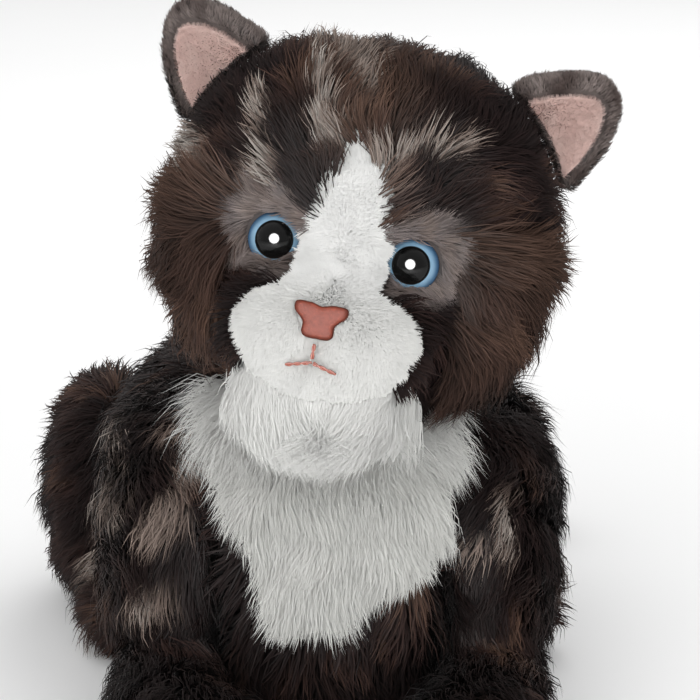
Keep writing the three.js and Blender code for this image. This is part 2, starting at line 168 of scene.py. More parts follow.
def new_mesh(name, points, polygon_sizes, corners):
    mesh = bpy.data.meshes.new(name)
    mesh.vertices.add(len(points))
    mesh.vertices.foreach_set("co", points.astype(np.float32).ravel())
    mesh.loops.add(len(corners))
    mesh.loops.foreach_set("vertex_index", corners.astype(np.int32))
    mesh.polygons.add(len(polygon_sizes))
    starts = np.concatenate(([0], np.cumsum(polygon_sizes)[:-1]))
    mesh.polygons.foreach_set("loop_start", starts.astype(np.int32))
    mesh.polygons.foreach_set("loop_total", polygon_sizes.astype(np.int32))
    mesh.polygons.foreach_set("use_smooth", np.ones(len(polygon_sizes), bool))
    mesh.update(calc_edges=True)
    return mesh


def new_object(name, mesh):
    obj = bpy.data.objects.new(name, mesh)
    bpy.context.scene.collection.objects.link(obj)
    return obj


def set_colours(mesh, colours):
    attribute = mesh.color_attributes.new("fur_colour", "FLOAT_COLOR", "POINT")
    full = np.concatenate((colours, np.ones((len(colours), 1))), axis=1)
    attribute.data.foreach_set("color", full.astype(np.float32).ravel())


def mesh_points(mesh):
    points = np.zeros(len(mesh.vertices) * 3)
    mesh.vertices.foreach_get("co", points)
    return points.reshape(-1, 3)


def mesh_normals(mesh):
    normals = np.zeros(len(mesh.vertices) * 3)
    mesh.vertex_normals.foreach_get("vector", normals)
    return normals.reshape(-1, 3)


def mesh_triangles(mesh):
    mesh.calc_loop_triangles()
    triangles = np.zeros(len(mesh.loop_triangles) * 3, np.int32)
    mesh.loop_triangles.foreach_get("vertices", triangles)
    return triangles.reshape(-1, 3)


def place_tree(places):
    tree = KDTree(len(places))
    for index, place in enumerate(places):
        tree.insert(Vector(place), index)
    tree.balance()
    return tree


# ---------------------------------------------------------------- soft forms


def largest_island(bm):
    """Deletes all but the island that spans most."""
    unseen = set(bm.verts)
    islands = []
    while unseen:
        front = [unseen.pop()]
        island = list(front)
        while front:
            vert = front.pop()
            for edge in vert.link_edges:
                other = edge.other_vert(vert)
                if other in unseen:
                    unseen.remove(other)
                    front.append(other)
                    island.append(other)
        islands.append(island)
    islands.sort(key=lambda verts: max(v.co.y for v in verts) - min(v.co.y for v in verts))
    for island in islands[:-1]:
        bmesh.ops.delete(bm, geom=island, context="VERTS")


def soft_form(name, sources, size=voxel, rounds=8):
    """One smooth closed mesh around CAD nodes, with their gaps bridged and the facets gone."""
    bm = bmesh.new()
    for source in sources:
        bm.from_mesh(nodes[source].data)
    mesh = bpy.data.meshes.new(name)
    bm.to_mesh(mesh)
    bm.free()
    obj = new_object(name + "_rough", mesh)
    remesh = obj.modifiers.new("remesh", "REMESH")
    remesh.mode = "VOXEL"
    remesh.voxel_size = size
    shown = obj.evaluated_get(bpy.context.evaluated_depsgraph_get())
    form = bpy.data.meshes.new_from_object(shown)
    bpy.data.objects.remove(obj)
    bm = bmesh.new()
    bm.from_mesh(form)
    largest_island(bm)
    for _ in range(rounds):
        bmesh.ops.smooth_vert(bm, verts=bm.verts, factor=0.5, use_axis_x=True, use_axis_y=True,
                              use_axis_z=True)
    bmesh.ops.recalc_face_normals(bm, faces=bm.faces)
    bm.to_mesh(form)
    bm.free()
    form.name = name
    return form


def spread(mesh, values, rounds):
    """Values at the vertices, evened out along the edges."""
    edges = np.zeros(len(mesh.edges) * 2, np.int32)
    mesh.edges.foreach_get("vertices", edges)
    start, end = edges.reshape(-1, 2).T
    count = np.bincount(start, minlength=len(values)) + np.bincount(end, minlength=len(values))
    for _ in range(rounds):
        total = np.bincount(start, values[end], len(values)) + np.bincount(end, values[start], len(values))
        values = 0.5 * values + 0.5 * total / np.maximum(count, 1)
    return values


def nearest_node(points, names):
    """The index of the CAD node closest to each point."""
    distance = np.full(len(points), np.inf)
    label = np.zeros(len(points), int)
    for index, name in enumerate(names):
        mesh = nodes[name].data
        tree = BVHTree.FromPolygons([v.co for v in mesh.vertices], [p.vertices for p in mesh.polygons])
        found = np.array([tree.find_nearest(Vector(p))[3] for p in points])
        closer = found < distance
        distance[closer] = found[closer]
        label[closer] = index
    return label


# ---------------------------------------------------------------- colours of the pile

white = linear(244, 244, 242)
# Painted shade: the next three whites are the white pile darkened to the shade on the muzzle's puffs, under
# the chin and down the chest.
muzzle_white_shaded = linear(224, 224, 221)
collar_white_shaded = linear(218, 218, 215)
bib_white_shaded = linear(206, 206, 202)
deep_brown = linear(27, 16, 15)
brown = linear(52, 36, 32)
brown_light = linear(88, 66, 54)
taupe = linear(124, 108, 99)
ash = linear(172, 165, 158)
pale = linear(196, 185, 172)
patch_grey = linear(115, 107, 106)
ear_grey = linear(128, 117, 113)
pink = linear(208, 182, 174)


def tabby(points, seed):
    """Deep brown pile with broad, soft patches of lighter brown."""
    broad = waves(points, 55 * mm, seed)
    fine = waves(points, 16 * mm, seed + 1)
    colour = mix(deep_brown, brown, smooth_step(broad + 0.6 * fine, -0.3, 0.8))
    return mix(colour, brown_light, 0.7 * smooth_step(broad + 0.8 * fine, 0.7, 1.5))


# Light strokes on the body's coat, in millimetres of the row frame: start, end, half width, strength.
body_strokes = (
    ((-65, -90, 114), (-64, -114, 92), 6, 0.9),
    ((-38, -113, 120), (-45, -131, 86), 7, 0.6),
    ((-48, -131, 68), (-52, -132, 60), 6, 0.8),
    ((-84, 4, 36), (-84, 18, 30), 7, 0.8),
    ((71, -126, 98), (69, -130, 86), 4, 0.9),
    ((69, -130, 82), (58, -136, 78), 4, 0.8),
    ((-30, -10, 140), (-24, 60, 138), 8, 0.9),
    ((24, 0, 142), (14, 70, 138), 8, 0.9),
    ((-4, 90, 132), (-30, 130, 118), 8, 0.9),
)

# The same on the head, in millimetres of its own frame seen from the front: (x, z) to (x, z).
head_strokes = (
    ((-23, 60), (-15, 35), 3.0, 1.0),
    ((-15, 36), (-8, 36), 2.6, 0.8),
    ((-41, 44), (-35, 25), 3.0, 0.9),
    ((-34, 24), (-31, 12), 4.0, 1.0),
    ((-63, 22), (-57, 4), 5.0, 1.0),
    ((-16, 66), (-4, 58), 5.0, 0.7),
    ((11, 31), (34, 41), 3.4, 0.85),
    ((12, 27), (20, 12), 3.5, 0.35),
    ((62, 4), (64, -16), 4.0, 0.6),
)


def stroke_light(points, strokes, ragged):
    """How strongly the strokes light each point, with ragged millimetres added to the distance."""
    light = np.zeros(len(points))
    for start, end, half_width, strength in strokes:
        start, end = np.array(start, float), np.array(end, float)
        run = end - start
        share = np.clip((points - start) @ run / (run @ run), 0, 1)
        apart = np.linalg.norm(points - start - share[:, None] * run, axis=1)
        light = np.maximum(light, 0.85 * strength * bump(np.maximum(apart + ragged, 0), 1.1 * half_width))
    return light


def lit(colour, light):
    """Pale ash where light is 1, taupe on the way there."""
    colour = mix(colour, taupe, smooth_step(light, 0.1, 0.5))
    return mix(colour, ash, smooth_step(light, 0.4, 1.0))


def body_colour(points, seed):
    ragged = 4 * waves(points, 14 * mm, seed + 4)
    return lit(tabby(points, seed), stroke_light(points / mm, body_strokes, ragged))


def head_colour(points, seed):
    """Tabby with strokes that run back from the brow, and brown above the blaze."""
    local = to_head(points) / mm
    seen = local[:, [0, 2]]
    front = smooth_step(local[:, 1], 30, 5)
    ragged = 2.0 * waves(points, 10 * mm, seed + 5)
    warm = 0.7 * bump(np.hypot(seen[:, 0] + 2, (seen[:, 1] - 50) * 0.7), 16)
    colour = mix(tabby(points, seed), brown_light, warm * front)
    return lit(colour, front * stroke_light(seen, head_strokes, ragged))


def cheek_colour(points, seed):
    z = to_head(points)[:, 2] / mm
    # Painted shade: the cheek is paler towards its top and darker below it.
    lit_towards_top = smooth_step(z, -16, 6)
    return mix(tabby(points, seed), brown_light, 0.25 + 0.3 * lit_towards_top)


def patch_colour(points, seed):
    """Grey round the eyes, which runs out into the tabby."""
    local = to_head(points) / mm
    x, z = np.abs(local[:, 0]), local[:, 2]
    speckle = waves(points, 9 * mm, seed)
    colour = mix(patch_grey, taupe, 0.35 + 0.25 * speckle)
    away = np.hypot(x - eye_spacing / mm / 2, 0.9 * (z + 4)) + 4 * waves(points, 16 * mm, seed + 3)
    return mix(colour, tabby(points, seed), 0.9 * smooth_step(away, 15, 24))


def clouded(colour, points, seed):
    """A plain pale colour with soft clouds in it, a little darker."""
    return mix(colour, 0.93 * colour, 0.5 + 0.5 * waves(points, 14 * mm, seed))


def blaze_colour(points, seed):
    return clouded(white, points, seed)


def muzzle_colour(points, seed):
    """White with painted shade, darker at the puffs than at the bridge above them."""
    rise = smooth_step(to_head(points)[:, 2] / mm, -24, -10)
    return clouded(mix(muzzle_white_shaded, white, rise), points, seed)


def chin_colour(points, seed):
    # Painted shade: the white under the chin is darkened to the shade there.
    return clouded(collar_white_shaded, points, seed)


def bib_colour(points, seed):
    """White with painted shade, darkest down the chest and brightest along the collar."""
    # Painted shade: the white grows darker from the collar down the chest.
    height = smooth_step(points[:, 2], collar_height - 30 * mm, collar_height - 8 * mm)
    return clouded(mix(bib_white_shaded, collar_white_shaded, height), points, seed)


def belly_colour(points, seed):
    return mix(taupe, pale, 0.5 + 0.5 * waves(points, 25 * mm, seed))


def ear_colour(points, seed):
    return mix(ear_grey, brown, 0.35 + 0.35 * waves(points, 10 * mm, seed))


def pink_colour(points, seed):
    return mix(pink, linear(198, 168, 160), 0.5 + 0.5 * waves(points, 8 * mm, seed))


# ---------------------------------------------------------------- which way the pile lies


body_middle_x = middle_of("torso_cover").x


def head_lay(points):
    """Away from the nose: up over the crown, out and down over the cheeks."""
    local = to_head(points)
    away = unit(local - nose_tip)
    down = np.zeros_like(local)
    down[:, 2] = -1
    back = np.zeros_like(local)
    back[:, 1] = 1
    low = smooth_step(local[:, 2], 20 * mm, -20 * mm)
    return from_head(away * (1 - 0.5 * low[:, None]) + 0.3 * back + 1.3 * down * low[:, None])


def crown_lay(points):
    local = to_head(points)
    away = unit(local - nose_tip)
    away[:, 1] += 0.9
    away[:, 2] -= 0.35 * smooth_step(local[:, 2], 50 * mm, 10 * mm)
    return from_head(away)


def collar_lay(points):
    """Down and a little forward from under the chin."""
    lay = np.zeros_like(points)
    lay[:, 0] = 6 * (points[:, 0] - head_centre.x)
    lay[:, 1] = -0.55
    lay[:, 2] = -1
    return lay


def chest_lay(points):
    """Down from the collar, spreading a little."""
    lay = np.zeros_like(points)
    lay[:, 0] = 4 * (points[:, 0] - body_middle_x)
    lay[:, 1] = -0.15
    lay[:, 2] = -1
    return lay


def torso_lay(points):
    """Back along the body and down its sides."""
    lay = np.zeros_like(points)
    lay[:, 0] = 3 * (points[:, 0] - body_middle_x)
    lay[:, 1] = 0.55
    lay[:, 2] = -0.85
    return lay


def foreleg_lay(points):
    """Down from the shoulder and forward to the paw."""
    lay = np.zeros_like(points)
    lay[:, 1] = -0.7
    lay[:, 2] = -0.75
    lay[:, 0] = -1.5 * (points[:, 0] - body_middle_x)
    return lay


def hind_leg_lay(points):
    lay = np.zeros_like(points)
    lay[:, 1] = 0.6
    lay[:, 2] = -0.8
    return lay


tail_middle = np.array(middle_of("tail_cover"))
tail_hollow = np.array((0, 25 * mm, 0))  # from the middle of the hollow side of the tail's curve


def tail_lay(points):
    """Round the tail's curve, from its root to its tip."""
    spoke = points - (tail_middle - tail_hollow)
    lay = np.stack((-spoke[:, 1], spoke[:, 0], 0 * spoke[:, 2]), axis=1)
    lay = unit(lay) * np.array((-1, -1, 1))
    lay[:, 0] = np.abs(lay[:, 0]) + 0.2
    lay[:, 2] = -0.2
    return lay


# ---------------------------------------------------------------- strands

face_forward = np.array((0, -1, 0.1))  # in the head's frame
spans = 3  # lengths of ribbon in a strand
rib_width = (1.0, 0.95, 0.65)  # at the ribs from the root on; the tip is a point
ribbon_faces = (4, 4, 3)  # corners of the two quads and the triangle at the tip
ribbon_corners = np.array((0, 1, 3, 2, 2, 3, 5, 4, 4, 5, 6))
length_spread = 0.18  # from strand to strand, as a share of the length
length_swell = 0.2  # from place to place
lean_spread = 0.12  # radians


def grow_ribs(roots, normals, lay, coat, growth, rng):
    """The points along each strand, from its root to its tip."""
    count = len(roots)
    lay = unit(lay - normals * (lay * normals).sum(axis=1, keepdims=True))
    swirl = np.cross(normals, lay)
    turn = coat["swirl"] * waves(roots, 30 * mm, 31) + rng.normal(0, coat["stray"], count)
    lay = unit(lay * np.cos(turn)[:, None] + swirl * np.sin(turn)[:, None])
    length = coat["length"] * (1 + length_spread * rng.normal(size=count))
    length *= 1 + length_swell * waves(roots, 22 * mm, 47)
    length = np.clip(length, 0.4 * coat["length"], 1.5 * coat["length"])
    length *= growth
    lean = np.radians(coat["lean"]) + rng.normal(0, lean_spread, count)
    ribs = [roots]
    for span in range(spans):
        angle = lean * (0.45 + 0.4 * span)
        step = normals * np.cos(angle)[:, None] + lay * np.sin(angle)[:, None]
        step += rng.normal(0, coat["frizz"], (count, 3))
        ribs.append(ribs[-1] + unit(step) * (length / spans)[:, None])
    return np.stack(ribs)


def draw_together(ribs, coat, rng):
    """Pulls the strands towards the nearest leader, into tufts. Returns each strand's leader."""
    roots = ribs[0]
    count = len(roots)
    chosen = np.sort(rng.choice(count, max(1, int(count / coat["tuft"])), replace=False))
    tree = place_tree(roots[chosen])
    leader = chosen[np.array([tree.find(Vector(p))[1] for p in roots])]
    pull = coat["pull"] * (0.6 + 0.4 * rng.random(count))
    for rib in range(1, spans + 1):
        share = (pull * (rib / spans) ** 1.3)[:, None]
        ribs[rib] += (ribs[rib][leader] - ribs[rib]) * share
    ribs[..., 2] = np.maximum(ribs[..., 2], floor_clearance)
    return leader


def strand_colours(colours, leader, coat, rng):
    """A colour for each point of each strand, from its root's painted shade to its tip's own tone."""
    count = len(colours)
    shades = np.repeat(np.linspace(coat["root_shade"], coat["tip_shade"], spans + 1), 2)[:-1]
    tuft_tone = rng.normal(0, coat["mottle"] * 1.4, count)[leader]
    tone = (1 + tuft_tone + rng.normal(0, coat["mottle"], count))[:, None, None]
    return np.clip(colours[:, None, :] * shades[None, :, None] * np.clip(tone, 0.5, 1.6), 0, 1)


def strand_piece(name, roots, normals, lay, coat, colours, rng, growth=1):
    """Tapered ribbons standing on a skin, lying over along lay and drawn together in tufts.

    growth lengthens or shortens each strand."""
    count = len(roots)
    ribs = grow_ribs(roots, normals, lay, coat, growth, rng)
    leader = draw_together(ribs, coat, rng)
    forward = from_head(face_forward)
    nap = unit(normals * (1 - coat["facing"]) + forward * coat["facing"])
    shaded = unit(normals * (1 - coat["facing"] ** 2) + forward * coat["facing"] ** 2)
    along = unit(ribs[-1] - ribs[0])
    side = unit(np.cross(along, nap))
    facing = np.cross(side, along)
    roll = rng.normal(0, 0.5 * (1 - coat["facing"]), count)[:, None]
    side = side * np.cos(roll) + facing * np.sin(roll)
    half = coat["width"] * (0.7 + 0.6 * rng.random(count))[:, None] / 2
    points = []
    for rib, share in enumerate(rib_width):
        points += [ribs[rib] - side * half * share, ribs[rib] + side * half * share]
    points.append(ribs[-1])
    points = np.stack(points, axis=1)
    tones = strand_colours(colours, leader, coat, rng)
    corners = (np.arange(count)[:, None] * points.shape[1] + ribbon_corners).ravel()
    mesh = new_mesh(name, points.reshape(-1, 3), np.tile(ribbon_faces, count), corners)
    relief = coat["relief"]
    soft = unit(shaded + relief * (facing + 0.7 * side) + rng.normal(0, 0.3 * relief, (count, 3)))
    mesh.normals_split_custom_set_from_vertices(np.repeat(soft, points.shape[1], axis=0))
    set_colours(mesh, tones.reshape(-1, 3))
    add_strand_map(mesh, count)
    return new_object(name, mesh)


def add_strand_map(mesh, count):
    """A small cell of the unit square for each strand, root at the bottom."""
    cells = math.ceil(math.sqrt(count))
    low, high = 0.2 / cells, 0.8 / cells
    heights = np.linspace(low, high, spans + 1)
    corner = [(low if i % 2 == 0 else high, heights[i // 2]) for i in range(6)]
    corner.append(((low + high) / 2, heights[-1]))
    pattern = np.array(corner)[ribbon_corners]
    index = np.arange(count)
    origin = np.stack((index % cells, index // cells), axis=1) / cells
    layer = mesh.uv_layers.new(name="OFBake")
    layer.data.foreach_set("uv", (origin[:, None, :] + pattern).astype(np.float32).ravel())


# ---------------------------------------------------------------- coats

# length and width in metres, lean in degrees from upright at mid strand, tuft in strands,
# density in strands per square millimetre, depth from the CAD surface down to the backing,
# relief from 0 to 1 for how much each strand shades by itself rather than as one nap,
# landing for how far along a strand it must still lie over its own cover,
# facing from 0 to 1 for how much the nap turns from the skin's normal to the way the face looks.
# root_shade and tip_shade scale a strand's colour from root to tip: the darker root is painted shade deep in
# the pile, the paler tip the pile's own lighter tips.
long_coat = {
    "length": 17 * mm, "width": 0.75 * mm, "lean": 62, "stray": 0.22, "frizz": 0.10, "tuft": 22,
    "pull": 0.42, "density": 0.62, "depth": 7.5 * mm, "root_shade": 0.65, "tip_shade": 1.15, "mottle": 0.08,
    "relief": 0.32, "swirl": 0.6, "landing": 0.6,
    "facing": 0,
}


def coat(**changes):
    return {**long_coat, **changes}


white_tones = {"root_shade": 1, "tip_shade": 1, "mottle": 0.01, "swirl": 0.35}
cheek_coat = coat(length=21 * mm, density=2.3, depth=9.5 * mm, lean=76, tuft=60, pull=0.5, width=0.5 * mm)
patch_coat = coat(length=6.5 * mm, density=6.5, depth=3 * mm, width=0.34 * mm, pull=0.3, tuft=16, lean=66)

face_plush = coat(length=2.6 * mm, density=16, depth=1.2 * mm, width=0.3 * mm, pull=0, lean=40, frizz=0.06,
                  stray=0.5, relief=0.03, facing=0.75, **white_tones)

coats = {
    "head_cover": coat(length=13 * mm, density=1.9, depth=7.5 * mm, lean=76, width=0.45 * mm, tuft=40),
    "cheek_left": cheek_coat,
    "cheek_right": cheek_coat,
    "eye_patch_left": patch_coat,
    "eye_patch_right": patch_coat,
    "blaze_panel": face_plush,
    "muzzle_panel": {**face_plush, "width": 0.46 * mm, "density": 11},
    "chin_panel": coat(length=21 * mm, density=15, depth=2 * mm, width=0.36 * mm, pull=0.3, tuft=70,
                       lean=52, landing=0.05, relief=0.1, facing=0.9, **white_tones),
    "bib_panel": coat(length=15 * mm, density=5.5, depth=5 * mm, width=0.36 * mm, lean=74, pull=0.3,
                      tuft=70, landing=0.9, relief=0.1, facing=0.5, **white_tones),
    "belly_panel": coat(length=8 * mm, density=0.5, depth=3 * mm),
    "torso_cover": coat(density=0.6, width=0.7 * mm, lean=70, tuft=30),
    "foreleg_left_cover": coat(length=17 * mm, density=1.5, width=0.5 * mm, lean=72, tuft=50),
    "foreleg_right_cover": coat(length=17 * mm, density=1.5, width=0.5 * mm, lean=72, tuft=50),
    "hind_leg_left_cover": coat(length=15 * mm, density=0.95, width=0.6 * mm, lean=68, tuft=30),
    "hind_leg_right_cover": coat(length=15 * mm, density=0.95, width=0.6 * mm, lean=68, tuft=30),
    "tail_cover": coat(length=17 * mm, density=1.1, width=0.6 * mm, lean=60, tuft=30),
}

lays = {
    "head_cover": crown_lay, "cheek": head_lay, "eye_patch": head_lay, "blaze_panel": head_lay,
    "muzzle_panel": head_lay, "chin_panel": collar_lay, "bib_panel": chest_lay, "belly_panel": torso_lay,
    "torso_cover": torso_lay, "foreleg": foreleg_lay, "hind_leg": hind_leg_lay, "tail_cover": tail_lay,
}

colourings = {
    "head_cover": head_colour, "cheek": cheek_colour, "eye_patch": patch_colour, "blaze_panel": blaze_colour,
    "muzzle_panel": muzzle_colour, "chin_panel": chin_colour, "bib_panel": bib_colour,
    "belly_panel": belly_colour, "torso_cover": body_colour, "foreleg": body_colour,
    "hind_leg": body_colour, "tail_cover": body_colour,
}


def bib_growth(roots):
    """Longer at the top, where the bib stands up as a collar."""
    return 1 + 0.9 * smooth_step(roots[:, 2], collar_height - 24 * mm, collar_height)


def chin_growth(roots):
    """Short over the lower lip, long under the chin."""
    local = to_head(roots) / mm
    return 0.2 + 0.8 * smooth_step(local[:, 2] - 0.3 * (local[:, 1] + 60), -47, -53)


growths = {"bib_panel": bib_growth, "chin_panel": chin_growth}


def by_start(table, node):
    return next(value for key, value in table.items() if node.startswith(key))


# ---------------------------------------------------------------- materials


class Nodes:
    """A material with one Principled BSDF, and short calls to add nodes to it."""

    def __init__(self, name):
        self.material = bpy.data.materials.new(name)
        self.material.use_nodes = True
        self.tree = self.material.node_tree
        self.shader = self.tree.nodes["Principled BSDF"]

    def add(self, kind, **settings):
        node = self.tree.nodes.new("ShaderNode" + kind)
        for key, value in settings.items():
            if key in node.inputs:
                node.inputs[key].default_value = value
            else:
                setattr(node, key, value)
        return node

    def link(self, output, target):
        self.tree.links.new(output, target)

    def place(self):
        return self.add("TexCoord").outputs["Object"]

    def noise(self, scale, detail=3.0):
        node = self.add("TexNoise", Scale=scale, Detail=detail)
        self.link(self.place(), node.inputs["Vector"])
        return node.outputs["Fac"]

    def ramp(self, value, low, high):
        node = self.add("MapRange")
        self.link(value, node.inputs["Value"])
        node.inputs["To Min"].default_value = low
        node.inputs["To Max"].default_value = high
        return node.outputs["Result"]

    def set(self, **values):
        for key, value in values.items():
            self.shader.inputs[key.replace("_", " ")].default_value = value


def pile_material(name, variation, roughness, sheen):
    """The strands' own colours, with a fine mottle laid over them."""
    made = Nodes(name)
    colour = made.add("VertexColor", layer_name="fur_colour").outputs["Color"]
    shade = made.ramp(made.noise(260), 1 - variation, 1 + variation)
    scaled = made.add("VectorMath", operation="SCALE")
    made.link(colour, scaled.inputs[0])
    made.link(shade, scaled.inputs["Scale"])
    made.link(scaled.outputs["Vector"], made.shader.inputs["Base Color"])
    made.set(Roughness=roughness, Sheen_Weight=sheen, Sheen_Roughness=0.5)
    made.shader.inputs["Specular IOR Level"].default_value = 0.05
    return made.material


dark_pile = pile_material("dark_pile", 0.22, 0.6, 0.03)
white_pile = pile_material("white_pile", 0.02, 0.8, 0.05)
pink_pile = pile_material("pink_velour", 0.06, 0.8, 0.3)


def pile_look(node):
    return white_pile if node in white_nodes else dark_pile


white_nodes = ("blaze_panel", "muzzle_panel", "chin_panel", "bib_panel")
white_backing, dark_backing_shade = 0.95, 0.4  # the cloth's tone as a share of its pile's; the low share under dark pile is painted shade at the roots


# ---------------------------------------------------------------- fur on the stuffed forms


# The face's soft features, in millimetres of the head's frame: how far each stands out, how far it
# reaches, and where its middle is.
puff_rise, puff_reach, puff_x, puff_z = 4.2, 14, 18, -28
bridge_rise, bridge_reach = 2.4, 11
chin_rise, chin_reach, chin_z = 2.5, 9, -52
groove_fall, groove_reach, groove_x = -2.0, 2.4, -1.7


def face_relief(local):
    """How far the head's surface stands out from its plain form, given in the head's frame."""
    x, y, z = (local / mm).T
    front = smooth_step(y, -36, -50)
    puffs = puff_rise * bump(np.hypot(np.abs(x) - puff_x, (z - puff_z) * 1.05), puff_reach)
    bridge = bridge_rise * bump(x, bridge_reach) * smooth_step(z, -38, -26) * smooth_step(z, 26, 10)
    chin = chin_rise * bump(np.hypot(x * 0.7, z - chin_z), chin_reach)
    groove = groove_fall * bump(x - groove_x, groove_reach)
    groove = groove * smooth_step(z, -46, -38) * smooth_step(z, -28, -32)
    return mm * front * (puffs + bridge + chin + groove)


# How far strands stay off each eye, in millimetres round a place a little up and out from its middle,
# so that fur lies over the lower and inner side of the ring.
root_clearance, root_out, root_z = 8.2, 1.4, -3.6
tip_clearance, tip_out, tip_z_middle = 7.0, 1.2, -3.8


def kept_on_head(local, tips):
    """False for strands whose root or tip would lie over an eye or the nose."""
    x, _, z = (local / mm).T
    tip_x, _, tip_z = (tips / mm).T
    half = eye_spacing / mm / 2
    eye = np.hypot(np.abs(x) - half - root_out, z - root_z) > root_clearance
    eye &= np.hypot(np.abs(tip_x) - half - tip_out, tip_z - tip_z_middle) > tip_clearance
    across, up = np.abs(x - nose_middle[0]), z - nose_middle[1]
    nose = (across > 6.5 + 0.4 * up) | (up > 3.2) | (up < -5.5)
    front = local[:, 1] < -30 * mm
    return ~front | (eye & nose)


def dilated_faces(points, label, index, triangles, reach):
    """Which triangles lie on the cover of that index, or within reach of it."""
    tree = place_tree(points[label == index])
    centres = points[triangles].mean(axis=1)
    return np.array([tree.find(Vector(c))[2] for c in centres]) < reach


def label_at(places, tree, label):
    return label[np.array([tree.find(Vector(p))[1] for p in places])]


def random_places(triangles, chances, count, rng):
    """Random triangles, and a random point in each as weights of its corners."""
    picked = triangles[rng.choice(len(triangles), count, p=chances)]
    return picked, rng.dirichlet((1, 1, 1), count)[:, :, None]


def triangle_areas(points, triangles):
    corner = points[triangles]
    return np.linalg.norm(np.cross(corner[:, 1] - corner[:, 0], corner[:, 2] - corner[:, 0]), axis=1) / 2


def add_backing(form, body, covers, stuffing, points, normals, label, seed):
    """The cloth under the pile, sunk by each cover's depth. Returns its points."""
    depth = np.array([coats[name]["depth"] for name in covers])[label]
    depth = spread(form, depth, 6)
    skin_points = points - normals * depth[:, None]
    skin_points[:, 2] = np.maximum(skin_points[:, 2], floor_clearance)
    colours = np.zeros_like(points)
    for index, name in enumerate(covers):
        here = label == index
        # Painted shade: the cloth under dark pile is darkened to stand in for the shade at the roots.
        shade = white_backing if name in white_nodes else dark_backing_shade
        colours[here] = by_start(colourings, name)(points[here], seed) * shade
    form.vertices.foreach_set("co", skin_points.astype(np.float32).ravel())
    form.polygons.foreach_set("use_smooth", np.ones(len(form.polygons), bool))
    form.update()
    set_colours(form, colours)
    form.materials.clear()
    form.materials.append(dark_pile)
    skin = new_object(body + "_skin", form)
    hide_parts(stuffing)
    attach(skin, body)
    return skin_points


def furry_form(body, covers, stuffing, seed):
    """A backing skin for one stuffed piece, with a fur piece for each of its covers.

    A cover owns the strands that lie over it, so its outline shows where the tips land."""
    form = soft_form(body + "_form", [*covers, stuffing])
    points = mesh_points(form)
    normals = mesh_normals(form)
    if body == "head":
        points = points + normals * face_relief(to_head(points))[:, None]
        form.vertices.foreach_set("co", points.astype(np.float32).ravel())
        form.update()
        normals = mesh_normals(form)
    label = nearest_node(points, covers)
    skin_points = add_backing(form, body, covers, stuffing, points, normals, label, seed)
    triangles = mesh_triangles(form)
    area = triangle_areas(skin_points, triangles)
    tree = place_tree(points)
    for index, name in enumerate(covers):
        rng = np.random.default_rng(seed * 100 + index)
        style = coats[name]
        reach = style["length"] if len(covers) > 1 else np.inf
        here = np.flatnonzero(dilated_faces(points, label, index, triangles, reach))
        wanted = int(style["density"] * area[here].sum() / mm**2)
        chances = area[here] / area[here].sum()
        picked, weights = random_places(triangles[here], chances, wanted, rng)
        roots = (skin_points[picked] * weights).sum(axis=1)
        outward = unit((normals[picked] * weights).sum(axis=1))
        lay = by_start(lays, name)(roots)
        flat = unit(lay - outward * (lay * outward).sum(axis=1, keepdims=True))
        landing = (points[picked] * weights).sum(axis=1) + flat * style["length"] * style["landing"]
        keep = label_at(landing, tree, label) == index if len(covers) > 1 else np.ones(wanted, bool)
        if body == "head":
            tips = roots + unit(outward + unit(lay)) * style["length"]
            keep &= kept_on_head(to_head(roots), to_head(tips))
        roots, outward, lay, landing = (a[keep][:strand_limit] for a in (roots, outward, lay, landing))
        colours = by_start(colourings, name)(landing, seed)
        growth = growths[name](roots) if name in growths else 1
        fur = strand_piece(name + "_fur", roots, outward, lay, style, colours, rng, growth)
        fur.data.materials.append(pile_look(name))
        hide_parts(name)
        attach(fur, body)


furry_form("head", ["head_cover", "cheek_left", "cheek_right", "eye_patch_left", "eye_patch_right",
                    "blaze_panel", "muzzle_panel", "chin_panel"], "head_stuffing", 1)
furry_form("torso", ["torso_cover", "bib_panel", "belly_panel"], "torso_stuffing", 2)
furry_form("tail", ["tail_cover"], "tail_stuffing", 3)
for seed, limb in enumerate(("foreleg_left", "foreleg_right", "hind_leg_left", "hind_leg_right")):
    furry_form(limb, [limb + "_cover"], limb + "_stuffing", 4 + seed)


# ---------------------------------------------------------------- eyes


def lathe(name, profile, rings=72):
    """A smooth turned surface about -y. The profile runs from the rim to the axis as (radius, rise)."""
    turn = np.linspace(0, 2 * math.pi, rings, endpoint=False)
    bm = bmesh.new()
    rows = []
    for radius, rise in profile:
        if radius == 0:
            rows.append([bm.verts.new((0, -rise, 0))])
        else:
            rows.append([bm.verts.new((radius * math.cos(a), -rise, radius * math.sin(a))) for a in turn])
    for lower, upper in zip(rows, rows[1:]):
        for i in range(rings):
            j = (i + 1) % rings
            if len(lower) == 1:
                bm.faces.new((lower[0], upper[i], upper[j]))
            elif len(upper) == 1:
                bm.faces.new((lower[i], lower[j], upper[0]))
            else:
                bm.faces.new((lower[i], lower[j], upper[j], upper[i]))
    bmesh.ops.recalc_face_normals(bm, faces=bm.faces)
    mesh = bpy.data.meshes.new(name)
    bm.to_mesh(mesh)
    bm.free()
    mesh.polygons.foreach_set("use_smooth", np.ones(len(mesh.polygons), bool))
    return new_object(name, mesh)


def dome_profile(radius, foot, rise, steps=14):
    """A closed dome: flat underneath, then up over the top."""
    curve = [(0, foot - dome_thickness), (radius * 0.98, foot - dome_thickness)]
    for i in range(steps + 1):
        angle = math.pi / 2 * i / steps
        across = radius * math.cos(angle) if i < steps else 0
        curve.append((across, foot + (rise - foot) * math.sin(angle)))
    return curve


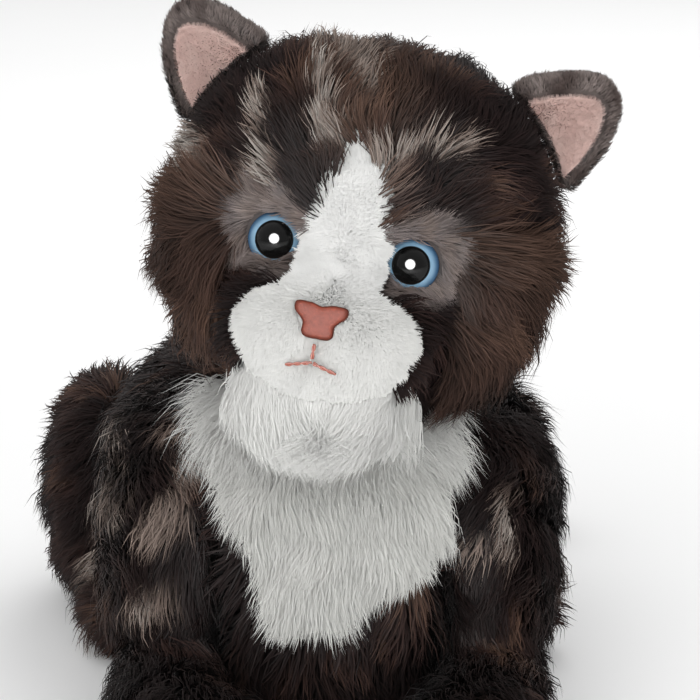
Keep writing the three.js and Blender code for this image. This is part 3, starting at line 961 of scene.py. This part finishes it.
def iris_material():
    """Steel blue plastic, paler towards the pupil, with a faint marbling."""
    made = Nodes("iris")
    colour = made.add("VertexColor", layer_name="fur_colour").outputs["Color"]
    scaled = made.add("VectorMath", operation="SCALE")
    made.link(colour, scaled.inputs[0])
    made.link(made.ramp(made.noise(350, 2), 0.85, 1.15), scaled.inputs["Scale"])
    made.link(scaled.outputs["Vector"], made.shader.inputs["Base Color"])
    made.set(Roughness=0.25, Coat_Weight=0.4, Coat_Roughness=0.1)
    return made.material


def colour_iris(iris):
    points = mesh_points(iris.data)
    radius = np.hypot(points[:, 0], points[:, 2])
    edge = smooth_step(radius, pupil_radius, eye_radius)
    set_colours(iris.data, mix(linear(128, 166, 192), linear(54, 92, 128), edge))


def pupil_material():
    """Polished black plastic, with a haze of fine handling marks."""
    made = Nodes("pupil")
    made.link(made.ramp(made.noise(500, 4), 0.04, 0.10), made.shader.inputs["Roughness"])
    shade = made.ramp(made.noise(120), 0.002, 0.006)
    made.link(shade, made.shader.inputs["Base Color"])
    made.shader.inputs["Specular IOR Level"].default_value = 0.25
    return made.material


iris_look = iris_material()
pupil_look = pupil_material()


def place_in_head(obj, local):
    placement = Matrix.Translation(head_centre) @ head_rotation.to_4x4() @ Matrix.Translation(local)
    obj.data.transform(placement)


def add_eye(side, side_name):
    seat = eye_seat + Vector((side * eye_spacing / 2, 0, 0))
    iris = lathe(f"{side_name}_iris", dome_profile(eye_radius, iris_foot, iris_rise))
    pupil = lathe(f"{side_name}_pupil", dome_profile(pupil_radius, pupil_foot, pupil_rise))
    colour_iris(iris)
    for obj, look, node in ((iris, iris_look, "iris"), (pupil, pupil_look, "pupil")):
        place_in_head(obj, seat)
        obj.data.materials.append(look)
        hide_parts(f"eye_{side_name}_{node}")
        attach(obj, "head")
    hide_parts(f"eye_{side_name}_washer")


add_eye(1, "left")
add_eye(-1, "right")


# ---------------------------------------------------------------- ears


def add_surface_fur(name, form, style, colouring, seed, look, keep=None):
    """Strands all over an ear's form, for its short pile. keep chooses roots by their place."""
    points = mesh_points(form)
    normals = mesh_normals(form)
    triangles = mesh_triangles(form)
    area = triangle_areas(points, triangles)
    rng = np.random.default_rng(seed)
    wanted = int(min(strand_limit, style["density"] * area.sum() / mm**2))
    picked, weights = random_places(triangles, area / area.sum(), wanted, rng)
    roots = (points[picked] * weights).sum(axis=1)
    outward = unit((normals[picked] * weights).sum(axis=1))
    if keep is not None:
        chosen = keep(roots)
        roots, outward = roots[chosen], outward[chosen]
    lay = from_head(np.tile((0, 0.1, 1.0), (len(roots), 1)))
    fur = strand_piece(name, roots, outward, lay, style, colouring(roots, seed), rng)
    fur.data.materials.append(look)
    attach(fur, "head")


def add_ear(side_name, seed):
    outer_node, lining_node = f"ear_{side_name}_outer", f"ear_{side_name}_lining"
    outer = soft_form(f"ear_{side_name}_back", [outer_node], 1.1 * mm, 6)
    # Painted shade: the cloth under the ear's short pile is darkened to 0.6 of the pile's colour.
    set_colours(outer, ear_colour(mesh_points(outer), seed) * 0.6)
    outer.materials.clear()
    outer.materials.append(dark_pile)
    outer_obj = new_object(f"ear_{side_name}_back", outer)
    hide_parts(outer_node)
    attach(outer_obj, "head")
    lining = soft_form(f"ear_{side_name}_velour", [lining_node], 0.7 * mm, 4)
    set_colours(lining, pink_colour(mesh_points(lining), seed))
    lining.materials.clear()
    lining.materials.append(pink_pile)
    lining_obj = new_object(f"ear_{side_name}_velour", lining)
    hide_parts(lining_node)
    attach(lining_obj, "head")
    short = coat(length=3.2 * mm, width=0.32 * mm, density=7, lean=64, tuft=14, pull=0.3, relief=0.25)
    lining_mesh = nodes[lining_node].data
    lining_tree = BVHTree.FromPolygons([v.co for v in lining_mesh.vertices],
                                       [p.vertices for p in lining_mesh.polygons])

    def clear_of_lining(roots):
        return np.array([lining_tree.find_nearest(Vector(p))[3] > 1.7 * mm for p in roots])

    add_surface_fur(f"ear_{side_name}_back_fur", outer, short, ear_colour, seed, dark_pile,
                    clear_of_lining)
    fuzz = coat(length=1.3 * mm, width=0.18 * mm, density=9, lean=35, tuft=4, pull=0.1,
                root_shade=0.95, tip_shade=1.02, mottle=0.02)
    add_surface_fur(f"ear_{side_name}_velour_pile", lining, fuzz, pink_colour, seed + 1, pink_pile)


add_ear("left", 21)
add_ear("right", 25)


# ---------------------------------------------------------------- nose and mouth


def nose_material():
    """Terracotta vinyl with a fine grain, darker towards its rim than across its front."""
    made = Nodes("nose")
    colour = made.add("VertexColor", layer_name="fur_colour").outputs["Color"]
    scaled = made.add("VectorMath", operation="SCALE")
    made.link(colour, scaled.inputs[0])
    made.link(made.ramp(made.noise(700, 5), 0.55, 1.35), scaled.inputs["Scale"])
    made.link(scaled.outputs["Vector"], made.shader.inputs["Base Color"])
    grain = made.add("Bump", Strength=0.25, Distance=0.0003)
    made.link(made.noise(1400, 3), grain.inputs["Height"])
    made.link(grain.outputs["Normal"], made.shader.inputs["Normal"])
    made.set(Roughness=0.5)
    made.shader.inputs["Specular IOR Level"].default_value = 0.08
    return made.material


def thread_material():
    """Waxed terracotta thread."""
    made = Nodes("thread")
    ramp = made.add("ValToRGB")
    ramp.color_ramp.elements[0].color = (*linear(140, 70, 54), 1)
    ramp.color_ramp.elements[1].color = (*linear(180, 100, 80), 1)
    made.link(made.noise(1500, 2), ramp.inputs["Fac"])
    made.link(ramp.outputs["Color"], made.shader.inputs["Base Color"])
    made.set(Roughness=0.6)
    return made.material


def smooth_outline(corners, steps=6):
    """A closed Catmull-Rom curve through the corners."""
    corners = np.array(corners, float)
    t = np.linspace(0, 1, steps, endpoint=False)[:, None]
    rows = []
    for i in range(len(corners)):
        a, b, c, d = (corners[(i + k) % len(corners)] for k in (-1, 0, 1, 2))
        rows.append(0.5 * (2 * b + (c - a) * t + (2 * a - 5 * b + 4 * c - d) * t**2
                           + (3 * b - a - 3 * c + d) * t**3))
    return np.concatenate(rows)


def add_nose():
    """A T-shaped pad with soft edges and a notch for each nostril."""
    half = [(0, 3.9), (3.2, 4.7), (7.4, 4.7), (8.6, 3.6), (8.2, 1.4), (6.2, -0.5), (5.1, -2.2), (5.1, -4.8),
            (3.9, -6.2), (1.6, -6.5)]
    corners = half + [(0, -6.4)] + [(-x, z) for x, z in half[:0:-1]]
    outline = smooth_outline(corners)
    low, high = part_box("nose")
    middle = to_head(np.array([(low + high) / 2]))[0] / mm
    rings = ((1.0, -3.0), (1.0, 0.5), (0.98, 0.9), (0.93, 1.2), (0.82, 1.4), (0.6, 1.5), (0.35, 1.6),
             (0.1, 1.6))  # share of the outline, millimetres proud of the nose's front
    bm = bmesh.new()
    rows = []
    edge = []
    for scale, rise in rings:
        rows.append([bm.verts.new((x * scale, -rise, z * scale)) for x, z in outline])
        edge += [scale] * len(outline)
    for lower, upper in zip(rows, rows[1:]):
        for i in range(len(lower)):
            j = (i + 1) % len(lower)
            bm.faces.new((lower[i], lower[j], upper[j], upper[i]))
    bm.faces.new(rows[-1])
    bm.faces.new(rows[0][::-1])
    bmesh.ops.recalc_face_normals(bm, faces=bm.faces)
    mesh = bpy.data.meshes.new("nose_pad")
    bm.to_mesh(mesh)
    bm.free()
    rim = smooth_step(np.array(edge), 0.8, 1.0)
    set_colours(mesh, mix(linear(136, 62, 44), linear(84, 38, 28), rim))
    mesh.polygons.foreach_set("use_smooth", np.ones(len(mesh.polygons), bool))
    mesh.materials.append(nose_material())
    slope = Matrix.Rotation(math.radians(-6), 4, "X")
    front = Vector((middle[0], nose_front, middle[2])) * mm
    mesh.transform(Matrix.Translation(front) @ slope @ Matrix.Scale(mm, 4))
    obj = new_object("nose_pad", mesh)
    place_in_head(obj, Vector((0, 0, 0)))
    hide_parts("nose")
    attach(obj, "head")


def add_stitch(node, look):
    """Two plies of thread twisted round each other along the CAD stitch, arched off the face."""
    points = mesh_points(nodes[node].data)
    middle = points.mean(axis=0)
    _, _, axes = np.linalg.svd(points - middle, full_matrices=False)
    along, across, out = axes
    reach = np.abs((points - middle) @ along).max()
    ply = 0.55 * mm
    pitch = 0.9 * mm
    arch_height = 0.5 * mm
    bm = bmesh.new()
    steps, rings = 40, 8
    for start in (0, math.pi):
        rows = []
        for i in range(steps + 1):
            t = i / steps * 2 - 1
            angle = start + t * reach / pitch
            arch = arch_height * (1 - t * t)
            core = middle + along * reach * t - from_head(np.array((0, 1.0, 0))) * arch
            core = core + (across * math.cos(angle) + out * math.sin(angle)) * ply * 0.55
            ring = [core + (across * math.cos(2 * math.pi * k / rings)
                            + out * math.sin(2 * math.pi * k / rings)) * ply * 0.6 for k in range(rings)]
            rows.append([bm.verts.new(p) for p in ring])
        for lower, upper in zip(rows, rows[1:]):
            for k in range(rings):
                bm.faces.new((lower[k], lower[(k + 1) % rings], upper[(k + 1) % rings], upper[k]))
        bm.faces.new(rows[0][::-1])
        bm.faces.new(rows[-1])
    bmesh.ops.recalc_face_normals(bm, faces=bm.faces)
    mesh = bpy.data.meshes.new(node + "_thread")
    bm.to_mesh(mesh)
    bm.free()
    mesh.polygons.foreach_set("use_smooth", np.ones(len(mesh.polygons), bool))
    mesh.materials.append(look)
    obj = new_object(node + "_thread", mesh)
    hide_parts(node)
    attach(obj, "head")


add_nose()
thread_look = thread_material()
for stitch in ("mouth_middle_stitch", "mouth_left_stitch", "mouth_right_stitch"):
    add_stitch(stitch, thread_look)


# ---------------------------------------------------------------- floor and light


def floor_material():
    """Matt white paper, with the least change of tone."""
    made = Nodes("floor")
    tone = made.ramp(made.noise(3), 0.88, 0.90)
    made.link(tone, made.shader.inputs["Base Color"])
    made.set(Roughness=0.9)
    return made.material


def add_floor():
    reach = 12
    mesh = new_mesh("floor", np.array(((-1, -1, 0), (1, -1, 0), (1, 1, 0), (-1, 1, 0))) * float(reach),
                    np.array((4,)), np.arange(4))
    floor = new_object("floor", mesh)
    mesh.materials.append(floor_material())


def add_light(name, place, size, power):
    """A round soft box that faces the chest."""
    data = bpy.data.lights.new(name, "AREA")
    data.shape = "DISK"
    data.size = size
    data.energy = power
    light = bpy.data.objects.new(name, data)
    bpy.context.scene.collection.objects.link(light)
    light.location = place
    light.rotation_euler = (middle_of("bib_panel") - Vector(place)).to_track_quat("-Z", "Y").to_euler()
    return light


def add_world():
    """A pale room, darker in front of the cat, so that its pupils stay black."""
    world = bpy.data.worlds.new("studio")
    world.use_nodes = True
    tree = world.node_tree
    background = tree.nodes["Background"]
    background.inputs["Color"].default_value = (1, 1, 1, 1)
    place = tree.nodes.new("ShaderNodeTexCoord")
    split = tree.nodes.new("ShaderNodeSeparateXYZ")
    tone = tree.nodes.new("ShaderNodeMapRange")
    tree.links.new(place.outputs["Generated"], split.inputs["Vector"])
    tree.links.new(split.outputs["Y"], tone.inputs["Value"])
    tone.inputs["From Min"].default_value = -0.8
    tone.inputs["From Max"].default_value = 0.3
    tone.inputs["To Min"].default_value = 0.45
    tone.inputs["To Max"].default_value = 1.0
    tree.links.new(tone.outputs["Result"], background.inputs["Strength"])
    bpy.context.scene.world = world


# Place in metres, width in metres and power in watts.
soft_boxes = {
    "key": ((-0.5, -1.6, 0.95), 1.0, 9.5),
    "fill": ((0.8, -1.5, 0.4), 1.2, 5),
    "back": ((0.4, 1.4, 1.4), 1.2, 10),
    "low_fill": ((-0.1, -1.6, 0.12), 1.0, 4.5),
    "catch_light": ((-0.16, -1.45, 0.5), 0.9, 110),
}

add_floor()
add_world()
lights = {name: add_light(name, *values) for name, values in soft_boxes.items()}
for name in ("key", "fill", "low_fill"):
    lights[name].visible_glossy = False
lights["catch_light"].visible_diffuse = False  # it shows only in the pupils and other glossy faces
bpy.context.scene.view_settings.view_transform = "Standard"
